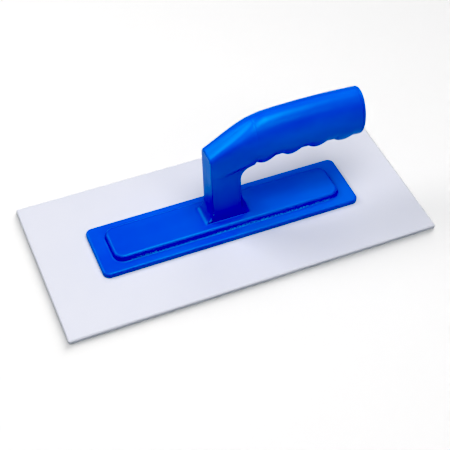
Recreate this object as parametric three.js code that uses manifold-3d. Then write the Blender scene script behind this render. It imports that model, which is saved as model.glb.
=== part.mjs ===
// Finishing trowel: a rigid plastic blade, a one-piece moulded handle screwed on from below,
// and a cap that closes the hollow grip. Millimetres, +Z up, +X towards the free end of the grip.
// The origin is the centre of the blade's underside. Parts of the handle measure their heights
// from the blade's top face, where the foot sits.
import * as THREE from 'three';
import { mergeVertices } from 'three/addons/utils/BufferGeometryUtils.js';
import Module from 'manifold-3d';

const wasm = await Module();
wasm.setup();

// ---- sizes ---------------------------------------------------------------------------------

const BLADE = {
  length: 280,
  width: 130,
  thickness: 3,
  edgeBevel: 0.8,
};

// The foot stands a little forward of the blade's middle.
const FOOT_CENTRE_X = -1.2;

const FLANGE = {
  length: 198.6,
  width: 47,
  thickness: 3.8,
  cornerRadius: 5,
  edgeRadius: 1.6,
};

const DECK = {
  length: 176,
  width: 31.6,
  rise: 4.7,
  cornerRadius: 7.5,
  edgeRadius: 2.4,
  baseFillet: 1.2,
  draft: 0.3,
};

// The neck is a flat plate; behind it a web, of the same thickness, runs on under the arch.
// The throat, between the neck and the web, hangs from the crown of the grip.
const NECK = {
  thickness: 18,
  frontX: -13.3,
  rearX: 8,
  frontLean: 1.8,
  rearDraft: 1,
  frontFilletReach: 7,
  frontFilletRise: 10,
  rearFilletReach: 9,
  rearFilletRise: 12,
  throatDrop: 28.1,
  throatReach: 7,
  throatRise: 10,
  webEndX: 19,
  webSlope: 0.28,
};

// The grip is an oval bar that sags towards both ends. Its lower half is shallower than its
// upper half, and the finger ridges bring it back to the full height.
const GRIP = {
  halfWidth: 13.7,
  halfHeight: 21,
  endX: 101,
  crownX: 57,
  crownHeight: 72.6,
  sag: 0.00105,
};

// In front of the shoulder the bar slopes down to a nose as thick as the neck. The drops are
// how far its top, its widest line and its underside lie below the crown of the bar's centre.
const NOSE = {
  topDrop: 3.1,
  centreDrop: 14.1,
  bottomDrop: 23.6,
  slope: 0.615,
  shoulderBlend: 4,
  squareness: 5,
  shoulderX: 25,
};

const RIDGE = {
  count: 4,
  firstX: 26.6,
  pitch: 20.2,
  halfWidth: 6.8,
  frontDepth: 4.2,
  rearDepth: 3,
};

const WALL = {
  deck: 2.6,
  neck: 2.6,
  grip: 3,
  rib: 1.8,
  overBoss: 2.3,
};

const CORE = {
  neckDrop: 16.6,
  gripStart: 21,
  draft: 0.3,
};

const CAP = {
  thickness: 2.2,
  edgeRadius: 1,
  skirtDepth: 7,
  skirtWall: 2,
};

const SCREW = {
  shankDiameter: 3.5,
  headDiameter: 7,
  headHeight: 2.05,
  headRim: 0.3,
  tipChamfer: 0.5,
  recessWidth: 1.1,
  recessSpan: 3.6,
  recessDepth: 1.3,
  sunkBelowFace: 0.3,
  innerColumn: 28,
  endInset: 10,
  sideInset: 7.2,
  bossDiameter: 8.2,
};

const CLEARANCE = {
  screwHole: 0.3,
  screwTip: 0.4,
  capSkirt: 0.3,
};

// How far a cutting shape runs past the face that it opens.
const OVERRUN = 2;

const CORNER_STEPS = 5;
const ROUND_STEPS = 3;
const CURVE_STEPS = 6;
const SECTION_STEPS = 36;
const STATION_STEP = 3.2;
const SCREW_STEPS = 16;

// ---- sizes that follow ---------------------------------------------------------------------

const deckTop = FLANGE.thickness + DECK.rise;
const noseTipX = NECK.frontX - NECK.frontLean;
const noseTop = GRIP.crownHeight - NOSE.topDrop;
const noseCentre = GRIP.crownHeight - NOSE.centreDrop;
const noseBottom = GRIP.crownHeight - NOSE.bottomDrop;
const throatStart = GRIP.crownHeight - NECK.throatDrop;
const neckCoreTop = GRIP.crownHeight - CORE.neckDrop;
const capSeatX = GRIP.endX - CAP.thickness;
const bossCeiling = deckTop - WALL.overBoss;
const screwLength = BLADE.thickness - SCREW.sunkBelowFace + bossCeiling - CLEARANCE.screwTip;
const outerColumn = DECK.length / 2 - SCREW.endInset;
const screwColumns = [-outerColumn, -SCREW.innerColumn, SCREW.innerColumn, outerColumn];
const screwRow = DECK.width / 2 - SCREW.sideInset;
const screwPlaces = screwColumns.flatMap((x) => [-1, 1].map((side) => [FOOT_CENTRE_X + x, side * screwRow]));

// ---- materials -----------------------------------------------------------------------------

const bladePlastic = new THREE.MeshStandardMaterial({ color: 0xdcdeea, roughness: 0.62, metalness: 0 });
const handlePlastic = new THREE.MeshStandardMaterial({ color: 0x0053dd, roughness: 0.42, metalness: 0 });
const capPlastic = new THREE.MeshStandardMaterial({ color: 0x004ccf, roughness: 0.45, metalness: 0 });
const screwSteel = new THREE.MeshStandardMaterial({ color: 0xb9bcc0, roughness: 0.35, metalness: 1 });

// ---- solids --------------------------------------------------------------------------------

function toSolid(geometry) {
  const bare = geometry.clone();
  bare.deleteAttribute('normal');
  bare.deleteAttribute('uv');
  const merged = mergeVertices(bare, 1e-5);
  return new wasm.Manifold(new wasm.Mesh({
    numProp: 3,
    vertProperties: merged.attributes.position.array,
    triVerts: Uint32Array.from(merged.index.array),
  }));
}

function toGeometry(solid) {
  const mesh = solid.getMesh();
  const geometry = new THREE.BufferGeometry();
  geometry.setAttribute('position', new THREE.BufferAttribute(Float32Array.from(mesh.vertProperties), 3));
  geometry.setIndex(Array.from(mesh.triVerts));
  geometry.computeVertexNormals();
  return geometry;
}

function joined(solids) {
  return solids.reduce((whole, solid) => whole.add(solid));
}

function mix(from, to, share) {
  return from + (to - from) * share;
}

function smoothStep(value, from, to) {
  const share = Math.min(1, Math.max(0, (value - from) / (to - from)));
  return share * share * (3 - 2 * share);
}

// Numbers from one end to the other in even steps, both ends included.
function evenly(from, to, steps) {
  return Array.from({ length: steps + 1 }, (_, step) => mix(from, to, step / steps));
}

// The angles of a quarter turn, from 0 to a right angle.
const QUARTER = evenly(0, Math.PI / 2, ROUND_STEPS);

// Skins a row of rings that all have the same number of points, and closes both ends. Seen
// from the end that the rings run to, each ring turns anticlockwise.
function loft(rings) {
  const count = rings[0].length;
  const positions = rings.flat().flatMap((point) => [point.x, point.y, point.z]);
  const indices = [];
  for (let row = 0; row < rings.length - 1; row++) {
    for (let column = 0; column < count; column++) {
      const here = row * count + column;
      const next = row * count + (column + 1) % count;
      indices.push(here, next, next + count);
      indices.push(here, next + count, here + count);
    }
  }
  const addLid = (row, facesForward) => {
    const middle = new THREE.Vector3();
    rings[row].forEach((point) => middle.addScaledVector(point, 1 / count));
    const middleIndex = positions.length / 3;
    positions.push(middle.x, middle.y, middle.z);
    for (let column = 0; column < count; column++) {
      const here = row * count + column;
      const next = row * count + (column + 1) % count;
      indices.push(middleIndex, facesForward ? here : next, facesForward ? next : here);
    }
  };
  addLid(0, false);
  addLid(rings.length - 1, true);
  const geometry = new THREE.BufferGeometry();
  geometry.setAttribute('position', new THREE.Float32BufferAttribute(positions, 3));
  geometry.setIndex(indices);
  return toSolid(geometry);
}

// A level rounded rectangle about the foot's middle, anticlockwise from above.
function footRing(length, width, cornerRadius, inset, height) {
  const radius = cornerRadius - inset;
  const ring = [];
  for (let corner = 0; corner < 4; corner++) {
    const signX = corner === 0 || corner === 3 ? 1 : -1;
    const signY = corner < 2 ? 1 : -1;
    for (const angle of evenly(corner * Math.PI / 2, (corner + 1) * Math.PI / 2, CORNER_STEPS)) {
      const x = FOOT_CENTRE_X + signX * (length / 2 - cornerRadius) + radius * Math.cos(angle);
      const y = signY * (width / 2 - cornerRadius) + radius * Math.sin(angle);
      ring.push(new THREE.Vector3(x, y, height));
    }
  }
  return ring;
}

// A plate whose outline lies in the XZ plane and whose thickness is centred on Y = 0.
function plateAcrossY(outline, thickness) {
  const geometry = new THREE.ExtrudeGeometry(outline, {
    depth: thickness,
    bevelEnabled: false,
    curveSegments: CURVE_STEPS,
  });
  geometry.rotateX(Math.PI / 2);
  geometry.translate(0, thickness / 2, 0);
  return toSolid(geometry);
}

function block(minX, maxX, minY, maxY, minZ, maxZ) {
  const geometry = new THREE.BoxGeometry(maxX - minX, maxY - minY, maxZ - minZ);
  geometry.translate((minX + maxX) / 2, (minY + maxY) / 2, (minZ + maxZ) / 2);
  return toSolid(geometry);
}

// A turned solid standing on Z, from [radius, height] points that start and end on the axis.
function turned(profile) {
  const points = profile.map(([radius, height]) => new THREE.Vector2(radius, height));
  const geometry = new THREE.LatheGeometry(points, SCREW_STEPS);
  geometry.rotateX(Math.PI / 2);
  return toSolid(geometry);
}

function rod(radius, bottom, top) {
  return turned([[0, bottom], [radius, bottom], [radius, top], [0, top]]);
}

function atEachScrew(solid) {
  return joined(screwPlaces.map(([x, y]) => solid.translate([x, y, 0])));
}

// ---- screws --------------------------------------------------------------------------------

// The radii of the countersunk head and of the shank, with a growth for clearance.
function screwRadii(growth) {
  return { rim: SCREW.headDiameter / 2 + growth, shank: SCREW.shankDiameter / 2 + growth };
}

function makeScrew() {
  const { rim, shank } = screwRadii(0);
  const body = turned([
    [0, 0],
    [rim, 0],
    [rim, SCREW.headRim],
    [shank, SCREW.headHeight],
    [shank, screwLength - SCREW.tipChamfer],
    [shank - SCREW.tipChamfer, screwLength],
    [0, screwLength],
  ]);
  const halfSpan = SCREW.recessSpan / 2;
  const halfWidth = SCREW.recessWidth / 2;
  const slot = block(-halfSpan, halfSpan, -halfWidth, halfWidth, -OVERRUN, SCREW.recessDepth);
  return body.subtract(slot.add(slot.rotate([0, 0, 90])));
}

// ---- blade ---------------------------------------------------------------------------------

function bladeRing(inset, height) {
  const x = BLADE.length / 2 - inset;
  const y = BLADE.width / 2 - inset;
  return [[x, y], [-x, y], [-x, -y], [x, -y]].map(([px, py]) => new THREE.Vector3(px, py, height));
}

function makeBlade() {
  const sheet = loft([
    bladeRing(0, 0),
    bladeRing(0, BLADE.thickness - BLADE.edgeBevel),
    bladeRing(BLADE.edgeBevel, BLADE.thickness),
  ]);
  const { rim, shank } = screwRadii(CLEARANCE.screwHole);
  const hole = turned([
    [0, -OVERRUN],
    [rim, -OVERRUN],
    [rim, SCREW.sunkBelowFace + SCREW.headRim],
    [shank, SCREW.sunkBelowFace + SCREW.headHeight],
    [shank, BLADE.thickness + OVERRUN],
    [0, BLADE.thickness + OVERRUN],
  ]);
  return sheet.subtract(atEachScrew(hole));
}

// ---- foot ----------------------------------------------------------------------------------

function flangeRing(inset, height) {
  return footRing(FLANGE.length, FLANGE.width, FLANGE.cornerRadius, inset, height);
}

function deckRing(inset, height) {
  return footRing(DECK.length, DECK.width, DECK.cornerRadius, inset, height);
}

// A rounded flange with a raised, rounded deck on it.
function makeFoot() {
  const flangeEdge = QUARTER.map((angle) => flangeRing(
    FLANGE.edgeRadius * (1 - Math.cos(angle)),
    FLANGE.thickness - FLANGE.edgeRadius * (1 - Math.sin(angle)),
  ));
  const deckFillet = QUARTER.map((angle) => deckRing(
    -DECK.baseFillet * (1 - Math.sin(angle)),
    FLANGE.thickness + DECK.baseFillet * (1 - Math.cos(angle)),
  ));
  const deckEdge = QUARTER.map((angle) => deckRing(
    DECK.draft + DECK.edgeRadius * (1 - Math.cos(angle)),
    deckTop - DECK.edgeRadius * (1 - Math.sin(angle)),
  ));
  return loft([flangeRing(0, 0), ...flangeEdge, ...deckFillet, ...deckEdge]);
}

// The hollow under the deck, crossed by ribs and by the bosses that take the screws.
function makeFootCore() {
  const ceiling = deckTop - WALL.deck;
  const hollow = loft([
    deckRing(WALL.deck, -OVERRUN),
    deckRing(WALL.deck + CORE.draft, ceiling),
  ]);
  const bottom = -2 * OVERRUN;
  const top = ceiling + OVERRUN;
  const halfLength = DECK.length / 2;
  const halfWidth = DECK.width / 2;
  const halfRib = WALL.rib / 2;
  const spine = block(
    FOOT_CENTRE_X - halfLength, FOOT_CENTRE_X + halfLength, -halfRib, halfRib, bottom, top,
  );
  const betweenColumns = (SCREW.innerColumn + outerColumn) / 2;
  const ribs = [...screwColumns, -betweenColumns, betweenColumns].map((column) => {
    const x = FOOT_CENTRE_X + column;
    return block(x - halfRib, x + halfRib, -halfWidth, halfWidth, bottom, top);
  });
  const bosses = atEachScrew(rod(SCREW.bossDiameter / 2, bottom, top));
  return hollow.subtract(joined([spine, ...ribs, bosses]));
}

function makeBossHoles() {
  return atEachScrew(rod(screwRadii(CLEARANCE.screwHole).shank, -OVERRUN, bossCeiling));
}

// ---- neck ----------------------------------------------------------------------------------

const frontFilletTop = deckTop + NECK.frontFilletRise;

// The front face leans forward above its fillet.
function frontFaceX(height) {
  return NECK.frontX - NECK.frontLean * (height - frontFilletTop) / (noseTop - frontFilletTop);
}

// The neck and its web from the side. They reach up to the widest line of the arch.
function makeNeck() {
  const buried = deckTop - WALL.deck / 2;
  const outline = new THREE.Shape();
  const frontFootX = NECK.frontX - NECK.frontFilletReach;
  outline.moveTo(frontFootX, buried);
  outline.absellipse(
    frontFootX, frontFilletTop, NECK.frontFilletReach, NECK.frontFilletRise, -Math.PI / 2, 0, false,
  );
  outline.lineTo(frontFaceX(noseCentre), noseCentre);
  for (const x of evenly(noseTipX, NECK.webEndX, CURVE_STEPS).slice(1)) {
    outline.lineTo(x, gripCentre(x));
  }
  const throatEndX = NECK.rearX + NECK.throatReach;
  const throatEndZ = throatStart + NECK.throatRise;
  outline.lineTo(NECK.webEndX, throatEndZ + (NECK.webEndX - throatEndX) * NECK.webSlope);
  outline.lineTo(throatEndX, throatEndZ);
  outline.quadraticCurveTo(
    NECK.rearX, throatEndZ - NECK.throatReach * NECK.webSlope, NECK.rearX, throatStart,
  );
  const rearFootX = NECK.rearX + NECK.rearDraft + NECK.rearFilletReach;
  outline.absellipse(
    rearFootX, deckTop + NECK.rearFilletRise,
    NECK.rearFilletReach, NECK.rearFilletRise, Math.PI, 1.5 * Math.PI, false,
  );
  outline.lineTo(rearFootX, buried);
  return plateAcrossY(outline, NECK.thickness);
}

// ---- grip ----------------------------------------------------------------------------------

// The lower of two heights, with the corner between them rounded off.
function smoothLower(first, second, blend) {
  const overlap = Math.max(blend - Math.abs(first - second), 0) / blend;
  return Math.min(first, second) - overlap * overlap * blend / 4;
}

function shoulderShare(x) {
  return smoothStep(x, noseTipX, NOSE.shoulderX);
}

function barCentre(x) {
  return GRIP.crownHeight - GRIP.sag * (x - GRIP.crownX) ** 2;
}

function gripTop(x) {
  const nose = noseTop + NOSE.slope * (x - noseTipX);
  return smoothLower(nose, barCentre(x) + GRIP.halfHeight, NOSE.shoulderBlend);
}

function gripCentre(x) {
  return mix(noseCentre, barCentre(x), shoulderShare(x));
}

// How far the underside stands back from the full oval: not at all on the crest of a ridge.
function recessDepth(x) {
  const full = mix(RIDGE.frontDepth, RIDGE.rearDepth, smoothStep(x, RIDGE.firstX, GRIP.endX));
  const shares = Array.from({ length: RIDGE.count }, (_, ridge) => {
    const offset = (x - RIDGE.firstX - ridge * RIDGE.pitch) / RIDGE.halfWidth;
    return offset * offset;
  });
  return full * Math.min(1, ...shares);
}

function gripBottom(x) {
  const bar = barCentre(x) - GRIP.halfHeight + recessDepth(x);
  return mix(noseBottom, bar, smoothStep(x, noseTipX, NECK.rearX));
}

// One cross-section, square-shouldered at the nose and a plain oval from the shoulder on.
function gripRing(x, inset = 0) {
  const share = shoulderShare(x);
  const halfWidth = mix(NECK.thickness / 2, GRIP.halfWidth, share) - inset;
  const centre = gripCentre(x);
  const above = gripTop(x) - centre - inset;
  const below = centre - gripBottom(x) - inset;
  const power = 2 / mix(NOSE.squareness, 2, share);
  return Array.from({ length: SECTION_STEPS }, (_, step) => {
    const angle = 2 * Math.PI * step / SECTION_STEPS;
    const across = Math.cos(angle);
    const up = Math.sin(angle);
    const y = halfWidth * Math.sign(across) * Math.abs(across) ** power;
    const z = centre + (up > 0 ? above : below) * Math.sign(up) * Math.abs(up) ** power;
    return new THREE.Vector3(x, y, z);
  });
}

// Stations along the bar: even steps over the nose and the tail, and between them the edges
// and the arc of each ridge.
function gripStations() {
  const start = noseTipX - OVERRUN;
  const firstEdge = RIDGE.firstX - RIDGE.halfWidth;
  const lastEdge = RIDGE.firstX + (RIDGE.count - 1) * RIDGE.pitch + RIDGE.halfWidth;
  const steps = (length) => Math.max(1, Math.ceil(length / STATION_STEP));
  const nose = evenly(start, firstEdge, steps(firstEdge - start)).slice(0, -1);
  const ridges = Array.from({ length: RIDGE.count }, (_, ridge) => {
    const crest = RIDGE.firstX + ridge * RIDGE.pitch;
    return evenly(crest - RIDGE.halfWidth, crest + RIDGE.halfWidth, 2 * CURVE_STEPS);
  });
  const tail = evenly(lastEdge, capSeatX, steps(capSeatX - lastEdge)).slice(1, -1);
  return [...[...nose, ...ridges.flat(), ...tail].filter((x) => x < capSeatX), capSeatX];
}

function makeGripBar() {
  return loft(gripStations().map((x) => gripRing(x)));
}

// Everything in front of the leaning front face.
function makeFrontCutter() {
  const bottom = frontFilletTop;
  const top = noseTop + OVERRUN;
  const farX = noseTipX - 3 * OVERRUN;
  const outline = new THREE.Shape();
  outline.moveTo(farX, bottom);
  outline.lineTo(frontFaceX(bottom), bottom);
  outline.lineTo(frontFaceX(top), top);
  outline.lineTo(farX, top);
  return plateAcrossY(outline, 2 * GRIP.halfWidth);
}

// The bore from the rear: an oval that narrows a little towards its blind end.
function boreRing(x, inset) {
  const taper = CORE.draft * (capSeatX - x) / (capSeatX - CORE.gripStart);
  const top = Math.min(gripTop(capSeatX), gripTop(CORE.gripStart)) - WALL.grip;
  const recessFloor = Math.max(gripBottom(RIDGE.firstX - RIDGE.halfWidth), gripBottom(capSeatX));
  const bottom = recessFloor + WALL.grip;
  const halfWidth = GRIP.halfWidth - WALL.grip - taper - inset;
  const halfHeight = (top - bottom) / 2 - taper - inset;
  return Array.from({ length: SECTION_STEPS }, (_, step) => {
    const angle = 2 * Math.PI * step / SECTION_STEPS;
    const y = halfWidth * Math.cos(angle);
    const z = (top + bottom) / 2 + halfHeight * Math.sin(angle);
    return new THREE.Vector3(x, y, z);
  });
}

function makeGripBore() {
  return loft([boreRing(CORE.gripStart, 0), boreRing(capSeatX + OVERRUN, 0)]);
}

function makeNeckCore() {
  const front = NECK.frontX + WALL.neck;
  const rear = NECK.rearX - WALL.neck;
  const outline = new THREE.Shape();
  outline.moveTo(front, -OVERRUN);
  outline.lineTo(rear, -OVERRUN);
  outline.lineTo(rear - CORE.draft, neckCoreTop);
  outline.lineTo(front + CORE.draft, neckCoreTop);
  return plateAcrossY(outline, NECK.thickness - 2 * WALL.neck);
}

function makeHandle() {
  const arch = joined([makeNeck(), makeGripBar()]).subtract(makeFrontCutter());
  const cores = joined([makeFootCore(), makeNeckCore(), makeGripBore(), makeBossHoles()]);
  return joined([makeFoot(), arch]).subtract(cores);
}

// ---- end cap -------------------------------------------------------------------------------

// A plate as wide as the grip, with a skirt that fits inside the bore.
function makeEndCap() {
  const edge = QUARTER.map((angle) => {
    const x = GRIP.endX - CAP.edgeRadius * (1 - Math.sin(angle));
    const ring = gripRing(capSeatX, CAP.edgeRadius * (1 - Math.cos(angle)));
    return ring.map((point) => point.setX(x));
  });
  const plate = loft([gripRing(capSeatX), ...edge]);
  const skirtStart = capSeatX - CAP.skirtDepth;
  const skirt = loft([
    boreRing(skirtStart, CLEARANCE.capSkirt),
    boreRing(capSeatX + CAP.thickness / 2, CLEARANCE.capSkirt),
  ]);
  const hollow = loft([
    boreRing(skirtStart - OVERRUN, CLEARANCE.capSkirt + CAP.skirtWall),
    boreRing(capSeatX, CLEARANCE.capSkirt + CAP.skirtWall),
  ]);
  return plate.add(skirt).subtract(hollow);
}

// ---- the assembly --------------------------------------------------------------------------

function addPiece(parent, name, solid, material) {
  const mesh = new THREE.Mesh(toGeometry(solid), material);
  mesh.name = name;
  parent.add(mesh);
  return mesh;
}

const trowel = new THREE.Group();
addPiece(trowel, 'blade', makeBlade(), bladePlastic);

const handleGroup = new THREE.Group();
handleGroup.position.z = BLADE.thickness;
trowel.add(handleGroup);
addPiece(handleGroup, 'handle', makeHandle(), handlePlastic);
addPiece(handleGroup, 'grip_end_cap', makeEndCap(), capPlastic);

screwPlaces.forEach(([x, y], index) => {
  const screw = addPiece(trowel, `screw_${index + 1}`, makeScrew(), screwSteel);
  screw.position.set(x, y, SCREW.sunkBelowFace);
});

export default trowel;
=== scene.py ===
"""Dresses a finishing trowel: a matt sheet blade under a satin moulded handle.

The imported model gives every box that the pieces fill. Each sub-assembly below takes its place
from those boxes and works out its surface in millimetres; a mesh becomes metres when it is
written. Heights on the handle are measured from the blade's top face.
"""

import logging
import math
from dataclasses import dataclass, field
from enum import Enum
from typing import Any, Callable

import bpy
import numpy as np
from mathutils import Matrix, Vector


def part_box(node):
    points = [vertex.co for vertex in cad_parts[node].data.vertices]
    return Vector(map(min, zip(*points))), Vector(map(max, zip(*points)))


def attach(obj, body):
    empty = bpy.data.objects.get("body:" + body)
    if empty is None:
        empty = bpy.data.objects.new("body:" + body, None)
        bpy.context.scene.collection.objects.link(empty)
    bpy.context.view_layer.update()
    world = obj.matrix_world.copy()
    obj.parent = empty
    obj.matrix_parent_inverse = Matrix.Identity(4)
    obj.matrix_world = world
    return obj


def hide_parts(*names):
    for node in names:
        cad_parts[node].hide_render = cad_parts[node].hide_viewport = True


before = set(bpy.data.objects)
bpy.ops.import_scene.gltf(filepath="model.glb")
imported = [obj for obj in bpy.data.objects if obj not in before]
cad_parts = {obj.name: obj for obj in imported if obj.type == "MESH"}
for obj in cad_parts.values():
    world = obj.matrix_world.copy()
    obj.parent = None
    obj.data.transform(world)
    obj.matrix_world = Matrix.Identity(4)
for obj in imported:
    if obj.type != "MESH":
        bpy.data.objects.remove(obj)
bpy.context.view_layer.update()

logging.basicConfig(level=logging.INFO, format="%(message)s")
LOG = logging.getLogger("trowel")

Array = np.ndarray
Triple = tuple[float, float, float]
Colour = Triple

MM = 0.001
TURN = 2 * math.pi
RIGHT_ANGLE = math.pi / 2


class Slot(Enum):
    """The record's material slots."""

    BLADE = "blade"
    HANDLE = "handle"
    CAP = "grip_end_cap"
    SCREW = "screw"


class Maths(Enum):
    """The operations of a Math node that the finishes use."""

    ADD = "ADD"
    SUBTRACT = "SUBTRACT"
    MULTIPLY = "MULTIPLY"
    ABSOLUTE = "ABSOLUTE"
    POWER = "POWER"


# ---- number helpers ------------------------------------------------------------------------


def mix(start: Any, end: Any, share: Any) -> Any:
    """Goes from start to end in a straight line as share goes from 0 to 1."""
    return start + (end - start) * share


def smooth_step(value: Any, start: float, end: float) -> Array:
    """Rises from 0 at start to 1 at end, level at both: 3 s squared minus 2 s cubed."""
    share = np.clip((value - start) / (end - start), 0.0, 1.0)
    return share * share * (3.0 - 2.0 * share)


def soft_min(first: Any, second: Any, reach: Any) -> Array:
    """Takes the lower of two values, with the corner between them rounded.

    Args:
        first: one value or array.
        second: the other.
        reach: how close the two come before the corner starts to round.

    Returns:
        The lower value, less a quarter of reach times the square of the overlap's share.
    """
    overlap = np.maximum(reach - np.abs(first - second), 0.0) / reach
    return np.minimum(first, second) - overlap * overlap * reach / 4.0


def soft_max(first: Any, second: Any, reach: Any) -> Array:
    """Takes the higher of two values, with the corner between them rounded."""
    return -soft_min(-first, -second, reach)


def quarter(steps: int) -> Array:
    """Gives the angles of a quarter turn, both ends included."""
    return np.linspace(0.0, RIGHT_ANGLE, steps + 1)


def rounding(steps: int, radius: float) -> list[tuple[float, float]]:
    """Gives a quarter circle's points as r(1 - cos a) and r(1 - sin a), both ends included."""
    return [(radius * (1 - math.cos(a)), radius * (1 - math.sin(a))) for a in quarter(steps)]


def raised(flat: Array, height: float) -> Array:
    """Gives points on a plane their height."""
    return np.concatenate([flat, np.full((*flat.shape[:-1], 1), height)], axis=-1)


def merged(values: Array, closest: float) -> Array:
    """Sorts values and drops any that follow another too closely.

    Args:
        values: the values in any order.
        closest: the smallest gap that stays.

    Returns:
        The values that stay.
    """
    ordered = np.sort(values)
    keep = np.concatenate([[True], np.diff(ordered) > closest])
    return ordered[keep]


def box_of(node: str) -> tuple[Array, Array]:
    """Gives a CAD node's lowest and highest corner in millimetres."""
    low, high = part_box(node)
    return np.array(low) / MM, np.array(high) / MM


# ---- meshes --------------------------------------------------------------------------------


def make_object(name: str, points: Array, faces: list[list[int]], sharp_from: float) -> bpy.types.Object:
    """Writes a mesh and puts its object at the origin.

    Args:
        name: the object's name.
        points: vertices by three, in millimetres.
        faces: the vertex numbers of each face, anticlockwise from outside.
        sharp_from: edges that fold by more than this angle in degrees stay sharp.

    Returns:
        The new object, in metres.
    """
    mesh = bpy.data.meshes.new(name)
    mesh.from_pydata((points * MM).tolist(), [], faces)
    mesh.validate()
    mesh.shade_smooth()
    mesh.set_sharp_from_angle(angle=math.radians(sharp_from))
    piece = bpy.data.objects.new(name, mesh)
    bpy.context.scene.collection.objects.link(piece)
    return piece


def band(lower: Array, upper: Array) -> Array:
    """Joins two closed loops of vertex numbers with four-sided faces.

    Args:
        lower: vertex numbers, with the loop along the last axis.
        upper: the next loop, of the same shape. Seen from it, both turn anticlockwise.

    Returns:
        Faces by four.
    """
    ahead = np.roll(lower, -1, axis=-1)
    above = np.roll(upper, -1, axis=-1)
    return np.stack([lower, ahead, above, upper], axis=-1).reshape(-1, 4)


@dataclass(frozen=True)
class RingSkin:
    """A closed surface through a row of rings that all have the same number of points.

    Attributes:
        rings: rows by columns by three. Seen from the last ring, each turns anticlockwise.
    """

    rings: Array

    def build(self, name: str, sharp_from: float) -> bpy.types.Object:
        """Skins the rings and closes each end with a fan around its middle.

        Args:
            name: the object's name.
            sharp_from: the angle in degrees from which an edge stays sharp.

        Returns:
            The new object.
        """
        rows, columns = self.rings.shape[:2]
        numbers = np.arange(rows * columns).reshape(rows, columns)
        first, last = rows * columns, rows * columns + 1
        ends = self.rings[[0, -1]].mean(axis=1)
        points = np.concatenate([self.rings.reshape(-1, 3), ends])
        sides = band(numbers[:-1], numbers[1:])
        bottom = np.stack([np.full(columns, first), np.roll(numbers[0], -1), numbers[0]], axis=-1)
        top = np.stack([np.full(columns, last), numbers[-1], np.roll(numbers[-1], -1)], axis=-1)
        return make_object(name, points, sides.tolist() + bottom.tolist() + top.tolist(), sharp_from)


# ---- shader trees --------------------------------------------------------------------------


class Wire:
    """A node's output socket that takes part in Python arithmetic."""

    def __init__(self, tree: "ShaderTree", socket: bpy.types.NodeSocket) -> None:
        """Keeps the tree and the socket."""
        self.tree = tree
        self.socket = socket

    def __add__(self, other: "Wire | float") -> "Wire":
        """Adds."""
        return self.tree.maths(Maths.ADD, self, other)

    __radd__ = __add__

    def __sub__(self, other: "Wire | float") -> "Wire":
        """Subtracts."""
        return self.tree.maths(Maths.SUBTRACT, self, other)

    def __rsub__(self, other: float) -> "Wire":
        """Subtracts from a number."""
        return self.tree.maths(Maths.SUBTRACT, other, self)

    def __mul__(self, other: "Wire | float") -> "Wire":
        """Multiplies."""
        return self.tree.maths(Maths.MULTIPLY, self, other)

    __rmul__ = __mul__

    def __pow__(self, other: float) -> "Wire":
        """Raises to a power."""
        return self.tree.maths(Maths.POWER, self, other)

    def __abs__(self) -> "Wire":
        """Drops the sign."""
        return self.tree.maths(Maths.ABSOLUTE, self)


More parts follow.
